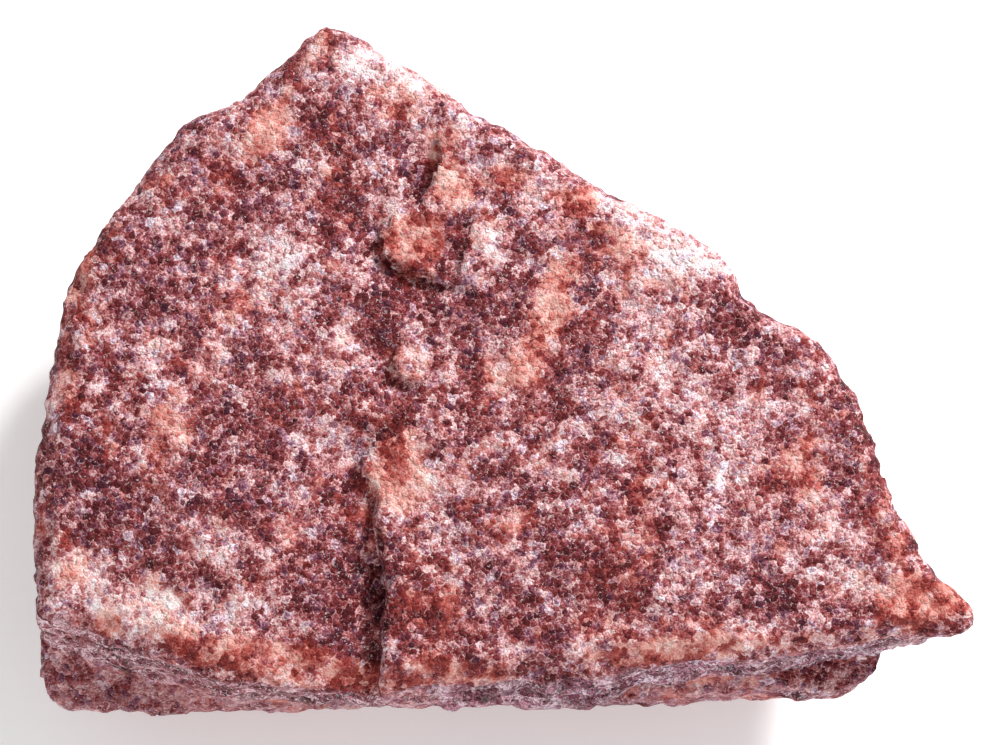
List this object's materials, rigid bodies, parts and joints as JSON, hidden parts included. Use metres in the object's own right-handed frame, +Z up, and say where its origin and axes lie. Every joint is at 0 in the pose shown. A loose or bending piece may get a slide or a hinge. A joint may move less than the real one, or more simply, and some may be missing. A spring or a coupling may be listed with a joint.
{
  "type": "quartzite rock",
  "caption": "Hand-sized broken piece of granular red quartzite with one broad fresh face, a stepped crack, a bedded near wall and a long spur.",
  "frame": {"origin": "on the resting plane, under the middle of the stone's bounding box", "axes": "+X towards the long spur, +Y towards the apex of the broad face, +Z up from the flat underside to the broad face"},
  "size_m": [0.064, 0.0454, 0.0253],
  "materials": {
    "quartzite": "fresh broken surface of interlocking glassy grains in plum, brick red, dusty pink, salmon and near white"
  },
  "bodies": {
    "root": {"stone": "quartzite"}
  },
  "joints": []
}
